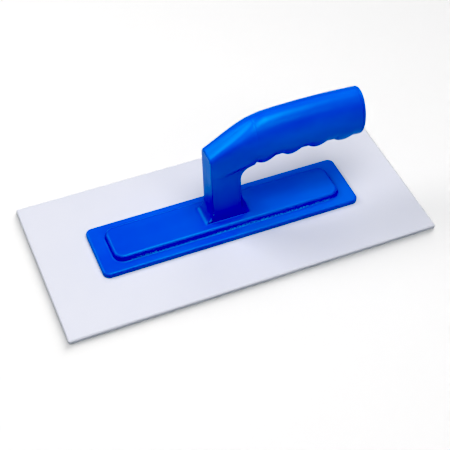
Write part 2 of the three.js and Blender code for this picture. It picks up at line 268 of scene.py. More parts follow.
class ShaderTree:
    """Builds one material's nodes around a Principled shader."""

    def __init__(self, name: str) -> None:
        """Makes the material and finds its shader.

        Args:
            name: the material's name.
        """
        self.material = bpy.data.materials.new(name)
        self.material.use_nodes = True
        self.nodes = self.material.node_tree.nodes
        self.links = self.material.node_tree.links
        self.shader = self.nodes["Principled BSDF"]

    def connect(self, value: Any, socket: bpy.types.NodeSocket) -> None:
        """Links a wire to a socket, or sets the socket to a plain value."""
        if isinstance(value, Wire):
            self.links.new(value.socket, socket)
        else:
            socket.default_value = value

    def node(self, kind: str, settings: dict[str, Any], inputs: dict[Any, Any], output: Any = 0) -> Wire:
        """Adds a node.

        Args:
            kind: the node's type, such as ShaderNodeTexNoise.
            settings: the node's own properties, which are set first.
            inputs: what each input socket gets, by its name or number.
            output: the output socket to hand back, by its name or number.

        Returns:
            The wire from that output.
        """
        made = self.nodes.new(kind)
        for key, value in settings.items():
            setattr(made, key, value)
        for key, value in inputs.items():
            self.connect(value, made.inputs[key])
        return Wire(self, made.outputs[output])

    def maths(self, operation: Maths, first: Any, second: Any = 0.0) -> Wire:
        """Adds a Math node on one or two values."""
        return self.node("ShaderNodeMath", {"operation": operation.value}, {0: first, 1: second})

    def own(self) -> Wire:
        """Gives the piece's own coordinates in metres."""
        return self.node("ShaderNodeTexCoord", {}, {}, "Object")

    def place(self, scale: Triple = (1.0, 1.0, 1.0), turn: float = 0.0) -> Wire:
        """Gives the piece's own coordinates, scaled along each axis and turned about z."""
        values = {"Vector": self.own(), "Rotation": (0.0, 0.0, turn), "Scale": scale}
        return self.node("ShaderNodeMapping", {}, values)

    def axes(self) -> tuple[Wire, Wire, Wire]:
        """Gives the piece's x, y and z in metres."""
        split = self.node("ShaderNodeSeparateXYZ", {}, {0: self.own()})
        made = split.socket.node
        return split, Wire(self, made.outputs[1]), Wire(self, made.outputs[2])

    def noise(self, vector: Wire, scale: float, detail: float = 2.0, roughness: float = 0.5) -> Wire:
        """Adds a noise texture that runs from about 0 to 1.

        Args:
            vector: the place to read.
            scale: lumps per metre, roughly.
            detail: how many finer layers it has.
            roughness: how strong the finer layers are.

        Returns:
            The noise.
        """
        values = {"Vector": vector, "Scale": scale, "Detail": detail, "Roughness": roughness}
        return self.node("ShaderNodeTexNoise", {}, values)

    def remap(self, value: Wire, start: float, end: float, low: float = 0.0, high: float = 1.0) -> Wire:
        """Carries start..end to low..high smoothly, and holds the ends.

        Args:
            value: what to carry.
            start: the value that gives low.
            end: the value that gives high.
            low: the result at start.
            high: the result at end.

        Returns:
            The carried value.
        """
        values = {"Value": value, "From Min": start, "From Max": end, "To Min": low, "To Max": high}
        return self.node("ShaderNodeMapRange", {"interpolation_type": "SMOOTHSTEP"}, values)

    def blend(self, share: Wire, first: Any, second: Any) -> Wire:
        """Mixes two colours.

        Args:
            share: how much of the second there is, from 0 to 1.
            first: a colour, or a wire that carries one.
            second: the other.

        Returns:
            The mixed colour.
        """
        pair = [(*c, 1.0) if isinstance(c, tuple) else c for c in (first, second)]
        values = {"Factor": share, 6: pair[0], 7: pair[1]}
        return self.node("ShaderNodeMix", {"data_type": "RGBA"}, values, 2)

    def bump(self, height: Wire, depth: float, below: Wire | None = None) -> Wire:
        """Adds a bump.

        Args:
            height: the relief, from 0 to 1.
            depth: what 1 stands for, in metres.
            below: another bump that this one lies on.

        Returns:
            The bent normal.
        """
        values: dict[Any, Any] = {"Strength": 1.0, "Distance": depth, "Height": height}
        if below is not None:
            values["Normal"] = below
        return self.node("ShaderNodeBump", {}, values)

    def finish(self, **sockets: Any) -> bpy.types.Material:
        """Sets or links the shader's sockets, whose names are written with underscores."""
        for key, value in sockets.items():
            self.connect(value, self.shader.inputs[key.replace("_", " ")])
        return self.material


@dataclass(frozen=True)
class WearAndGlints:
    """Nicks along both sides of a step, chips on a foot's upright edges, in metres: wear and painted
    glints.

    Attributes:
        line_half_length: half the length of the nicked line.
        line_side: its distance from the piece's middle.
        line_height: its height.
        foot_x: the middle of the chipped stretch.
        foot_side: its distance from the piece's middle.
        foot_height: its height.
        line_fade: how far from its end the line starts to fade.
        nick_and_glint_scale: nicks and painted glints per metre, roughly.
        spread_scale: stretches with more and fewer nicks per metre, roughly.
        chip_and_glint_scale: chips and painted glints per metre, roughly.
    """

    line_half_length: float
    line_side: float
    line_height: float
    foot_x: float
    foot_side: float
    foot_height: float
    line_fade: float = 0.002
    nick_and_glint_scale: float = 700.0
    spread_scale: float = 30.0
    chip_and_glint_scale: float = 500.0

    def mask(self, tree: ShaderTree) -> Wire:
        """Gives 1 on a nick or a chip, where a painted glint goes too, and 0 elsewhere.

        Args:
            tree: the material's nodes.

        Returns:
            The mask.
        """
        along, across, up = tree.axes()
        side = abs(across)

        def near(value: Wire, middle: float, core: float, edge: float) -> Wire:
            """Gives 1 within core of the middle, and falls to 0 at edge from it."""
            return tree.remap(abs(value - middle), core, edge, 1.0, 0.0)

        # The nicked line and the chipped foot are worn spots whose pale colour also paints glints.
        line = near(side, self.line_side, 0.0003, 0.0011) * near(up, self.line_height, 0.0002, 0.0012)
        line = line * near(along, 0.0, self.line_half_length - self.line_fade, self.line_half_length)
        spread = tree.remap(tree.noise(tree.place(), self.spread_scale, 1.0), 0.4, 0.6, 0.25, 1.0)
        nicks_and_glints = tree.remap(tree.noise(tree.place(), self.nick_and_glint_scale, 3.0), 0.47, 0.62)
        foot = near(along, self.foot_x, 0.0040, 0.0048) * near(side, self.foot_side, 0.0002, 0.0006)
        foot = foot * near(up, self.foot_height, 0.0045, 0.0055)
        chips_and_glints = tree.remap(tree.noise(tree.place(), self.chip_and_glint_scale, 3.0), 0.42, 0.55)
        return nicks_and_glints * line * spread + chips_and_glints * foot


@dataclass(frozen=True)
class MouldedPlastic:
    """Satin injection-moulded plastic: slow swirls of colour, a fine grain, and handling scuffs.

    Attributes:
        name: the material's name.
        colour: the colour of most of the surface.
        swirl: the slightly lighter colour of the flow marks.
        roughness: the roughness of the untouched surface.
        scuff: how much rougher a scuff is.
        grain: the height of the fine grain, in metres.
        ripple: the height of the slow waviness, in metres.
        sheen_tint: the colour that reflections take.
        gloss: the strength of reflections, 0.5 being usual.
        nick_and_glint: the pale colour of a nick, which also paints glints.
        nick_depth: the relief of a nick, in metres.
        flow_scale: flow marks per metre, roughly, as are the scales below.
        speck_scale: specks of uneven gloss.
        scuff_scale: scuffs.
        area_scale: areas with and without scuffs.
        grain_scale: the fine grain.
        ripple_scale: the slow waviness.
    """

    name: str
    colour: Colour
    swirl: Colour
    roughness: float
    scuff: float
    grain: float
    ripple: float
    sheen_tint: Colour = (0.0, 1.0, 0.9)
    gloss: float = 0.62
    nick_and_glint: Colour = (0.10, 0.36, 0.80)
    nick_depth: float = 0.00018
    flow_scale: float = 38.0
    speck_scale: float = 900.0
    scuff_scale: float = 420.0
    area_scale: float = 45.0
    grain_scale: float = 2600.0
    ripple_scale: float = 55.0

    def dress(self, wear_and_glints: WearAndGlints | None = None) -> bpy.types.Material:
        """Makes the material.

        Args:
            wear_and_glints: where the piece is nicked and painted with glints, if it is.

        Returns:
            The new material.
        """
        tree = ShaderTree(self.name)
        along = tree.place(scale=(0.35, 1.0, 1.0))
        flow = tree.remap(tree.noise(along, self.flow_scale, 3.0, 0.45), 0.35, 0.7)
        specks = tree.noise(tree.place(), self.speck_scale, 2.0)
        scuffs = tree.noise(tree.place(scale=(1.0, 0.12, 0.5)), self.scuff_scale, 4.0, 0.6)
        areas = tree.remap(tree.noise(tree.place(), self.area_scale), 0.42, 0.62)
        marks = tree.remap(scuffs, 0.60, 0.74) * areas
        colour = tree.blend(flow, self.colour, self.swirl)
        roughness = self.roughness + (specks - 0.5) * 0.08 + marks * self.scuff
        ripple = tree.bump(tree.noise(tree.place(), self.ripple_scale, 1.0), self.ripple)
        normal = tree.bump(tree.noise(tree.place(), self.grain_scale, 2.0), self.grain, ripple)
        # Nicks and chips: smoother and dented, with a paler colour that paints glints along the deck's base
        # and the neck's foot.
        if wear_and_glints:
            nicks_and_glints = wear_and_glints.mask(tree)
            colour = tree.blend(nicks_and_glints, colour, self.nick_and_glint)
            roughness = roughness - nicks_and_glints * 0.2
            normal = tree.bump(nicks_and_glints, self.nick_depth, normal)
        return tree.finish(
            Base_Color=colour,
            Roughness=roughness,
            Normal=normal,
            Specular_Tint=(*self.sheen_tint, 1.0),
            Specular_IOR_Level=self.gloss,
            IOR=1.5,
        )


@dataclass(frozen=True)
class SheetPlastic:
    """Matt extruded sheet: fine pebbling, drawing lines along its length, and hairline scratches.

    Attributes:
        name: the material's name.
        colour: the colour of the sheet.
        shade: the colour of its faint clouds.
        roughness: the roughness of most of the surface.
        pebble: the height of the pebbling, in metres.
        scratch: the depth of the scratches, in metres.
        cloud_scale: clouds per metre, roughly, as are the scales below.
        line_scale: drawing lines.
        pebble_scale: pebbles.
        scratch_scale: scratches.
        area_scale: areas with and without scratches.
        scratch_turn: the scratches' direction in radians.
    """

    name: str
    colour: Colour
    shade: Colour
    roughness: float
    pebble: float
    scratch: float
    cloud_scale: float = 22.0
    line_scale: float = 900.0
    pebble_scale: float = 1500.0
    scratch_scale: float = 1300.0
    area_scale: float = 30.0
    scratch_turn: float = 0.5

    def dress(self) -> bpy.types.Material:
        """Makes the material."""
        tree = ShaderTree(self.name)
        clouds = tree.remap(tree.noise(tree.place(), self.cloud_scale, 4.0, 0.6), 0.35, 0.7)
        lines = tree.noise(tree.place(scale=(0.02, 1.0, 1.0)), self.line_scale, 3.0)
        pebble = tree.noise(tree.place(), self.pebble_scale, 2.0)
        slanted = tree.place(scale=(0.04, 1.0, 1.0), turn=self.scratch_turn)
        hair = tree.remap(tree.noise(slanted, self.scratch_scale, 2.0), 0.68, 0.74)
        scratches = hair * tree.remap(tree.noise(tree.place(), self.area_scale, 1.0), 0.5, 0.68)
        colour = tree.blend(clouds * 0.7 + lines * 0.3, self.colour, self.shade)
        roughness = self.roughness + (pebble - 0.5) * 0.12 + (lines - 0.5) * 0.1 - scratches * 0.1
        relief = tree.bump(pebble, self.pebble, tree.bump(lines, self.pebble * 0.5))
        normal = tree.bump(1.0 - scratches, self.scratch, relief)
        return tree.finish(Base_Color=colour, Roughness=roughness, Normal=normal, IOR=1.48)


@dataclass(frozen=True)
class PlatedSteel:
    """Zinc-plated steel with turning marks and dull patches.

    Attributes:
        name: the material's name.
        colour: the colour of clean plating.
        dull: the colour of dulled plating.
        roughness: the roughness of clean plating.
        grain: the height of the turning marks, in metres.
        patch_scale: dull patches per metre, roughly.
        grain_scale: marks per metre, roughly.
    """

    name: str
    colour: Colour
    dull: Colour
    roughness: float
    grain: float = 0.00001
    patch_scale: float = 420.0
    grain_scale: float = 5000.0

    def dress(self) -> bpy.types.Material:
        """Makes the material."""
        tree = ShaderTree(self.name)
        patches = tree.remap(tree.noise(tree.place(), self.patch_scale, 3.0, 0.6), 0.4, 0.65)
        grain = tree.noise(tree.place(), self.grain_scale, 2.0)
        return tree.finish(
            Base_Color=tree.blend(patches, self.colour, self.dull),
            Metallic=1.0,
            Roughness=self.roughness + patches * 0.18 + (grain - 0.5) * 0.1,
            Normal=tree.bump(grain, self.grain),
        )


# ---- blade ---------------------------------------------------------------------------------


@dataclass
class Blade:
    """The flat sheet, with eight countersunk holes up through it.

    Attributes:
        low: the lowest corner of its box.
        high: the highest corner of its box.
        holes: the middle of each hole, holes by two.
        hole_radius: the radius at the underside.
        shank_radius: the radius at the top face.
        seat_depth: how far up the straight part below the cone reaches.
        cone_top: the height at which the cone meets the shank's hole.
        bevel: the width and height of the bevel along the top edge.
        corner_radius: the rounding of the four corners in plan.
        patch: half the side of the square in which a hole's faces turn round.
        patch_steps: faces along each side of that square.
        cell: the longest side of a plain face.
        margin: the width of the border that moves with the rim.
        patch_rows: rows of faces from that square in to the hole.
        rim_arc: the small rounding at the rim's edges.
        name: the piece's name.
    """

    low: Array
    high: Array
    holes: Array
    hole_radius: float = 3.8
    shank_radius: float = 2.05
    seat_depth: float = 0.6
    cone_top: float = 2.35
    bevel: float = 0.8
    corner_radius: float = 1.2
    patch: float = 4.5
    patch_steps: int = 12
    cell: float = 5.0
    margin: float = 10.0
    patch_rows: int = 4
    rim_arc: float = 0.15
    name: str = field(default="blade_sheet", init=False)

    def lines(self, centres: Array, half: float) -> Array:
        """Places the grid's lines along one axis: dense at the ends and across each hole.

        Args:
            centres: where the holes are along this axis.
            half: half the sheet's size along it.

        Returns:
            The lines' places, from one edge to the other.
        """
        fine = [np.linspace(c - self.patch, c + self.patch, self.patch_steps + 1) for c in centres]
        ends = half - self.corner_radius * (1.0 - np.sin(quarter(5)))
        stops = np.concatenate([[-ends[0]], *[f[[0, -1]] for f in fine], [ends[0]]])
        gaps = [
            np.linspace(start, end, max(2, math.ceil((end - start) / self.cell) + 1))
            for start, end in zip(stops[::2], stops[1::2])
        ]
        return merged(np.concatenate([-ends, ends, *fine, *gaps]), 1e-6)

    def plan(self, x: Array, y: Array, inset: float) -> tuple[Array, Array]:
        """Draws the outline in by an inset and rounds its corners.

        The margin shrinks evenly. In the corner's square, a point at some share of the
        way out by the larger coordinate goes to the same share of the way out by radius.

        Args:
            x: places along the sheet.
            y: places across it.
            inset: how far the outline moves in.

        Returns:
            The moved x and y.
        """
        moved = []
        for value, half in ((x, self.high[0]), (y, self.high[1])):
            over = np.maximum(np.abs(value) - (half - self.margin), 0.0)
            moved.append(np.sign(value) * (np.abs(value) - over * inset / self.margin))
        radius = self.corner_radius
        over_x = np.abs(moved[0]) - (self.high[0] - inset - radius)
        over_y = np.abs(moved[1]) - (self.high[1] - inset - radius)
        in_corner = (over_x > 1e-9) & (over_y > 1e-9)
        longest = np.maximum(over_x, over_y)
        shrink = np.where(in_corner, longest / np.maximum(np.hypot(over_x, over_y), 1e-9), 1.0)
        round_x = np.sign(moved[0]) * (self.high[0] - inset - radius + over_x * shrink)
        round_y = np.sign(moved[1]) * (self.high[1] - inset - radius + over_y * shrink)
        return np.where(in_corner, round_x, moved[0]), np.where(in_corner, round_y, moved[1])

    def rim(self) -> Array:
        """Gives the edge's profile, inset by height: a small arc, the wall, and the soft bevel."""
        arc, top = self.rim_arc, self.high[2]
        return np.array([
            [arc, 0.0],
            [arc * 0.3, arc * 0.3],
            [0.0, arc],
            [0.0, top - self.bevel - arc],
            [arc * 0.35, top - self.bevel + arc * 0.35],
            [self.bevel - arc, top - arc],
            [self.bevel + arc * 0.2, top - arc * 0.1],
            [self.bevel + arc * 1.6, top],
        ])

    def build(self) -> bpy.types.Object:
        """Builds the sheet as two grids, the rim between them, and the eight holes.

        Each face's grid has a square of cells left out at each hole. A polar patch fills it:
        row k of the patch lies k steps of the way from the square's border to the circle.

        Returns:
            The new object.
        """
        columns = np.unique(self.holes[:, 0].round(6))
        rows = np.unique(self.holes[:, 1].round(6))
        xs = self.lines(columns, self.high[0])
        ys = self.lines(rows, self.high[1])
        grid_x, grid_y = np.meshgrid(xs, ys, indexing="ij")
        profile = self.rim()
        size = grid_x.size
        bottom = np.arange(size).reshape(grid_x.shape)
        top = bottom + size
        points = []
        for inset, height in (profile[0], profile[-1]):
            face = np.stack(self.plan(grid_x, grid_y, inset), axis=-1)
            points.append(raised(face, height).reshape(-1, 3))

        steps = self.patch_steps
        starts_x = np.abs(xs[None] - (self.holes[:, :1] - self.patch)).argmin(axis=1)
        starts_y = np.abs(ys[None] - (self.holes[:, 1:] - self.patch)).argmin(axis=1)
        ahead = np.arange(steps)
        walk_x = np.concatenate([ahead, np.full(steps, steps), steps - ahead, np.zeros(steps, int)])
        walk_y = np.concatenate([np.zeros(steps, int), ahead, np.full(steps, steps), steps - ahead])
        loop_x = starts_x[:, None] + walk_x
        loop_y = starts_y[:, None] + walk_y

        keep = np.ones((len(xs) - 1, len(ys) - 1), bool)
        inside_x = starts_x[:, None, None] + ahead[None, :, None]
        inside_y = starts_y[:, None, None] + ahead[None, None, :]
        keep[inside_x, inside_y] = False

        def cells(numbers: Array, facing_up: bool) -> Array:
            """Turns a grid of vertex numbers into faces, without the cells at the holes.

            Args:
                numbers: the grid's vertex numbers.
                facing_up: whether the faces look up.

            Returns:
                Faces by four.
            """
            corners = [numbers[:-1, :-1], numbers[1:, :-1], numbers[1:, 1:], numbers[:-1, 1:]]
            order = corners if facing_up else corners[::-1]
            return np.stack(order, axis=-1)[keep]

        faces = [cells(bottom, False), cells(top, True)]
        count = 2 * size

        edge = np.concatenate([
            bottom[:-1, 0], bottom[-1, :-1], bottom[:0:-1, -1], bottom[0, :0:-1],
        ])
        edge_x, edge_y = grid_x.reshape(-1)[edge], grid_y.reshape(-1)[edge]
        below = edge
        for inset, height in profile[1:-1]:
            points.append(raised(np.stack(self.plan(edge_x, edge_y, inset), axis=-1), height))
            ring = count + np.arange(len(edge))
            faces.append(band(below, ring))
            below, count = ring, count + len(edge)
        faces.append(band(below, edge + size))

        border = np.stack([xs[loop_x], ys[loop_y]], axis=-1)
        centre = self.holes[:, None, :]
        outward = border - centre
        circle = outward / np.linalg.norm(outward, axis=-1, keepdims=True)
        loops = {}
        for label, numbers, radius, height in (
            ("bottom", bottom, self.hole_radius, self.low[2]),
            ("top", top, self.shank_radius, self.high[2]),
        ):
            outer = numbers[loop_x, loop_y]
            for step in range(1, self.patch_rows + 1):
                flat = mix(border, centre + radius * circle, step / self.patch_rows)
                points.append(raised(flat, height).reshape(-1, 3))
                inner = count + np.arange(outer.size).reshape(outer.shape)
                faces.append(band(outer, inner) if label == "top" else band(inner, outer))
                outer, count = inner, count + inner.size
            loops[label] = outer

        walls = [(self.hole_radius, self.seat_depth), (self.shank_radius, self.cone_top)]
        above = loops["bottom"]
        for radius, height in walls:
            points.append(raised(centre + radius * circle, height).reshape(-1, 3))
            ring = count + np.arange(above.size).reshape(above.shape)
            faces.append(band(ring, above))
            above, count = ring, count + ring.size
        faces.append(band(loops["top"], above))
        return make_object(self.name, np.concatenate(points), np.concatenate(faces).tolist(), 28.0)


# ---- handle --------------------------------------------------------------------------------


@dataclass
class Foot:
    """The flange on the blade and the raised deck on it, both rounded rectangles in plan.

    A column of points is named by its direction u, from 0 to a full turn: the middle of the
    rear side is 0, corner arcs span turned_from to turned_to of each quarter.

    Attributes:
        centre_x: the middle of both along the tool.
        half_length: half the flange's length.
        half_width: half the flange's width.
        thickness: the flange's thickness.
        corner_radius: the rounding of its corners in plan.
        edge_radius: the rounding along its top edge.
        sole_radius: the rounding along its bottom edge.
        sole_insets: the insets of the rings inside that edge.
        deck_half_length: half the deck's length.
        deck_half_width: half the deck's width.
        deck_rise: the deck's height above the flange.
        deck_corner_radius: the rounding of its corners in plan.
        deck_edge_radius: the rounding along its top edge.
        deck_fillet: the fillet around its foot.
        deck_draft: how far its sides lean in.
        turned_from: the direction in which a corner's arc starts.
        turned_to: the direction in which it ends.
    """

    centre_x: float
    half_length: float
    half_width: float
    thickness: float = 3.8
    corner_radius: float = 5.0
    edge_radius: float = 1.6
    sole_radius: float = 0.25
    sole_insets: tuple[float, ...] = (18.0, 8.0)
    deck_half_length: float = 88.0
    deck_half_width: float = 15.8
    deck_rise: float = 4.7
    deck_corner_radius: float = 7.5
    deck_edge_radius: float = 2.4
    deck_fillet: float = 1.2
    deck_draft: float = 0.3
    turned_from: float = math.radians(33.0)
    turned_to: float = math.radians(57.0)

    @property
    def deck_top(self) -> float:
        """The height of the deck's top face."""
        return self.thickness + self.deck_rise

    def outline(self, u: Array, half: tuple[float, float], radius: float, inset: float) -> Array:
        """Draws a rounded rectangle, one point for each direction.

        In the first quarter the point goes up the end, round the corner's arc and back along
        the side, each at an even rate of u; the other quarters mirror it.

        Args:
            u: the directions.
            half: half the length and half the width.
            radius: the corners' radius.
            inset: how far the outline moves in.

        Returns:
            Columns by two.
        """
        folded = np.arctan2(np.abs(np.sin(u)), np.abs(np.cos(u)))
        end = np.clip(folded / self.turned_from, 0.0, 1.0)
        turned = np.clip((folded - self.turned_from) / (self.turned_to - self.turned_from), 0.0, 1.0)
        side = np.clip((folded - self.turned_to) / (RIGHT_ANGLE - self.turned_to), 0.0, 1.0)
        angle = turned * RIGHT_ANGLE
        long, wide = half[0] - radius, half[1] - radius
        x = long * (1.0 - side) + (radius - inset) * np.cos(angle)
        y = wide * end + (radius - inset) * np.sin(angle)
        return np.stack([self.centre_x + x * np.sign(np.cos(u)), y * np.sign(np.sin(u))], axis=-1)

    def flange_ring(self, u: Array, inset: float, height: float) -> Array:
        """Gives a level ring of the flange: its outline at one height."""
        half = (self.half_length, self.half_width)
        return raised(self.outline(u, half, self.corner_radius, inset), height)

    def deck_ring(self, u: Array, inset: float, height: float) -> Array:
        """Gives a level ring of the deck: its outline at one height."""
        half = (self.deck_half_length, self.deck_half_width)
        return raised(self.outline(u, half, self.deck_corner_radius, inset), height)

    def rings(self, u: Array) -> Array:
        """Runs from the sole up over both steps to the rim of the deck's flat top.

        Each rounding is a quarter circle: inset r(1 - cos a), height r(1 - sin a) below its top.

        Args:
            u: the columns' directions.

        Returns:
            Rows by columns by three.
        """
        sole = [self.flange_ring(u, inset, 0.0) for inset in (*self.sole_insets, self.sole_radius)]
        sole += [
            self.flange_ring(u, inset, rise)
            for rise, inset in rounding(3, self.sole_radius)[1:]
        ]
        edge = [
            self.flange_ring(u, inset, self.thickness - drop)
            for inset, drop in rounding(8, self.edge_radius)
        ]
        fillet = [
            self.deck_ring(u, -outset, self.thickness + rise)
            for rise, outset in rounding(7, self.deck_fillet)
        ]
        shoulder = [
            self.deck_ring(u, self.deck_draft + inset, self.deck_top - drop)
            for inset, drop in rounding(10, self.deck_edge_radius)
        ]
        land = mix(edge[-1], fillet[0], 0.5)
        return np.stack(sole + edge + [land] + fillet + shoulder)


@dataclass
class Arch:
    """The neck, the nose and the oval grip, as one distance that is negative inside.

    The distance joins two bodies: the bar, whose section is a superellipse that turns from
    square-shouldered at the nose to a plain oval, cut by the leaning front plane; and the neck
    with its web, a flat plate between two side faces.

    Attributes:
        deck_top: the height that the neck stands on.
        end_x: where the grip meets its cap.
        half_width: half the grip's width.
        top_height: the highest point of the grip.
        half_height: half the bar's height.
        crown_x: where the bar is highest.
        sag: how fast it falls away from there, by the square of the distance.
        neck_half: half the neck's thickness.
        front_x: the neck's front face just above its foot.
        front_lean: how far that face leans forward by the nose.
        front_reach: the length of the front foot's quarter ellipse.
        front_rise: its height.
        rear_x: the neck's rear face at its top.
        rear_draft: how much further back it is at the foot.
        rear_reach: the length of the rear foot's quarter ellipse.
        rear_rise: its height.
        throat_drop: how far below the crown the throat's curve starts.
        throat_reach: the curve's length.
        throat_rise: its height.
        web_end: where the web under the grip ends.
        web_slope: the slope of its underside.
        web_round: the rounding at its end.
        nose_drop: how far the nose's front edge lies below the crown.
        nose_centre_drop: how far the nose's widest line lies below it.
        nose_bottom_drop: how far the nose's underside lies below it.
        nose_slope: the slope of the nose's back.
        nose_round: the rounding of its front edge.
        shoulder_blend: the rounding from that slope to the grip's back.
        shoulder_x: where the section has become the oval.
        squareness: the power of the nose's section.
        join_round: the rounding between bar and plate at the nose.
        join_growth: how much that rounding grows towards the oval.
        ridge_count: how many finger ridges there are.
        ridge_first: where the first one stands.
        ridge_pitch: from one ridge to the next.
        ridge_half: half a ridge's width.
        ridge_depth: the depth of the valleys, at the first ridge and at the cap.
        edge_round: the rounding of the neck's upright edges.
        base_fillet: the fillet along the neck's foot.
        seam_round: the rounding of the grip's rim.
        fan_centre: the x and z about which the rings turn.
    """

    deck_top: float
    end_x: float
    half_width: float
    top_height: float
    half_height: float = 21.0
    crown_x: float = 57.0
    sag: float = 0.00105
    neck_half: float = 9.0
    front_x: float = -13.3
    front_lean: float = 1.8
    front_reach: float = 7.0
    front_rise: float = 10.0
    rear_x: float = 8.0
    rear_draft: float = 1.0
    rear_reach: float = 9.0
    rear_rise: float = 12.0
    throat_drop: float = 28.1
    throat_reach: float = 7.0
    throat_rise: float = 10.0
    web_end: float = 19.0
    web_slope: float = 0.28
    web_round: float = 0.9
    nose_drop: float = 3.1
    nose_centre_drop: float = 14.1
    nose_bottom_drop: float = 23.6
    nose_slope: float = 0.615
    nose_round: float = 0.95
    shoulder_blend: float = 4.0
    shoulder_x: float = 25.0
    squareness: float = 5.0
    join_round: float = 0.05
    join_growth: float = 1.3
    ridge_count: int = 4
    ridge_first: float = 26.6
    ridge_pitch: float = 20.2
    ridge_half: float = 6.8
    ridge_depth: tuple[float, float] = (4.2, 3.0)
    edge_round: float = 0.8
    base_fillet: float = 0.6
    seam_round: float = 0.3
    fan_centre: tuple[float, float] = (17.0, 43.0)

    @property
    def crown(self) -> float:
        """The height of the bar's centre at its highest."""
        return self.top_height - self.half_height

    @property
    def tip_x(self) -> float:
        """The foremost point of the nose."""
        return self.front_x - self.front_lean

    @property
    def nose_top(self) -> float:
        """The height of the nose's front edge."""
        return self.crown - self.nose_drop

    @property
    def throat_start(self) -> float:
        """The height where the throat's curve leaves the neck."""
        return self.crown - self.throat_drop

    def share(self, x: Array) -> Array:
        """Gives how far the section has turned from the nose's to the oval."""
        return smooth_step(x, self.tip_x, self.shoulder_x)

    def bar_centre(self, x: Array) -> Array:
        """Gives the height of the bar's middle: a parabola that sags away from the crown."""
        return self.crown - self.sag * (x - self.crown_x) ** 2

    def top(self, x: Array) -> Array:
        """Gives the height of the bar's back: the nose's slope, then the parabola."""
        slope = self.nose_top + self.nose_slope * (x - self.tip_x)
        return soft_min(slope, self.bar_centre(x) + self.half_height, self.shoulder_blend)

    def centre(self, x: Array) -> Array:
        """Gives the height of the bar's widest line."""
        return mix(self.crown - self.nose_centre_drop, self.bar_centre(x), self.share(x))

    def full_recess(self, x: Array) -> Array:
        """Gives how far the valleys between the finger ridges stand back."""
        return mix(*self.ridge_depth, smooth_step(x, self.ridge_first, self.end_x))

    def recess(self, x: Array) -> Array:
        """Gives the underside's recess: a parabola over each ridge, level between them.

        Args:
            x: places along the grip.

        Returns:
            The recess at each.
        """
        crests = self.ridge_first + self.ridge_pitch * np.arange(self.ridge_count)
        offset = (np.asarray(x)[..., None] - crests) / self.ridge_half
        nearest = (offset * offset).min(axis=-1)
        return self.full_recess(x) * soft_min(nearest, 1.0, 0.12)

    def bottom(self, x: Array) -> Array:
        """Gives the height of the bar's underside."""
        bar = self.bar_centre(x) - self.half_height + self.recess(x)
        return mix(self.crown - self.nose_bottom_drop, bar, smooth_step(x, self.tip_x, self.rear_x))

    def front(self, z: Array) -> Array:
        """Gives the front face: a quarter ellipse at the foot, then a straight lean.

        Args:
            z: heights.

        Returns:
            The x at each.
        """
        fillet_top = self.deck_top + self.front_rise
        lean = self.front_lean * (z - fillet_top) / (self.nose_top - fillet_top)
        low = np.clip((fillet_top - z) / self.front_rise, 0.0, 1.0)
        foot = self.front_reach * (np.sqrt(1.0 - low * low) - 1.0)
        return self.front_x - np.maximum(lean, 0.0) + foot

    def rear(self, z: Array) -> Array:
        """Gives the neck's rear face: a quarter ellipse at the foot, then a slight draft.

        Args:
            z: heights.

        Returns:
            The x at each.
        """
        fillet_top = self.deck_top + self.rear_rise
        share = np.clip((z - fillet_top) / (self.throat_start - fillet_top), 0.0, 1.0)
        low = np.clip((fillet_top - z) / self.rear_rise, 0.0, 1.0)
        foot = self.rear_reach * (1.0 - np.sqrt(1.0 - low * low))
        return self.rear_x + self.rear_draft * (1.0 - share) + foot

    def throat(self, x: Array) -> Array:
        """Gives the web's underside: a parabola out of the neck, then a slope.

        Args:
            x: places along the grip.

        Returns:
            The height at each.
        """
        end_x = self.rear_x + self.throat_reach
        end_z = self.throat_start + self.throat_rise
        corner_z = end_z - self.throat_reach * self.web_slope
        step = np.sqrt(np.clip((x - self.rear_x) / self.throat_reach, 0.0, 1.0))
        curve = (
            self.throat_start * (1 - step) ** 2
            + 2 * corner_z * step * (1 - step)
            + end_z * step * step
        )
        return curve + np.clip(x - end_x, 0.0, self.web_end - end_x) * self.web_slope

    def in_plate(self, x: Array, z: Array) -> Array:
        """Says whether a point is on the neck's side of the throat's line.

        Args:
            x: places along the tool.
            z: heights.

        Returns:
            True or false for each.
        """
        below = (z < self.throat_start) & (x <= self.rear(z))
        above = (z >= self.throat_start) & ((x <= self.rear_x) | (z >= self.throat(x)))
        return below | above

    def bar_distance(self, x: Array, y: Array, z: Array) -> Array:
        """Gives the distance to the bar, along the line to its section's centre.

        The section is |y/w|^n + |z/h|^n = 1; a point whose left side is v to the power n lies
        at v times the surface's radius in its direction.

        Args:
            x: places along the tool.
            y: places across it.
            z: heights.

        Returns:
            The distance, negative inside.
        """
        share = self.share(x)
        power = mix(self.squareness, 2.0, share)
        centre = self.centre(x)
        width = mix(self.neck_half, self.half_width, share)
        height = np.where(z > centre, self.top(x) - centre, centre - self.bottom(x))
        across = np.abs(y) / width
        upward = np.abs(z - centre) / height
        value = np.maximum((across ** power + upward ** power) ** (1.0 / power), 1e-6)
        return np.hypot(y, z - centre) * (1.0 - 1.0 / value)


@dataclass
class Sections:
    """Where each ring of the arch lies: a plane through y, seen from the fan's centre.

    Attributes:
        x: the x of each ring's centre.
        z: its height.
        axis: the unit direction across the ring, towards the inside of the arch, rows by two.
        reach: half the ring's size along that direction.
        side: half the ring's width.
        plate_middle: the middle of the plate's stretch along that direction.
        plate_half: half that stretch.
        plate_side: half the plate's thickness there.
    """

    x: Array
    z: Array
    axis: Array
    reach: Array
    side: Array
    plate_middle: Array
    plate_half: Array
    plate_side: Array

    def spots(self, along: Array) -> tuple[Array, Array]:
        """Gives the x and z of places in each ring's plane, rows by columns."""
        return tuple(c[:, None] + along * self.axis[:, [i]] for i, c in enumerate((self.x, self.z)))

    def joined(self, other: "Sections") -> "Sections":
        """Puts another row of sections after these."""
        pairs = [(getattr(self, key), getattr(other, key)) for key in self.__dataclass_fields__]
        return Sections(*[np.concatenate(pair) for pair in pairs])


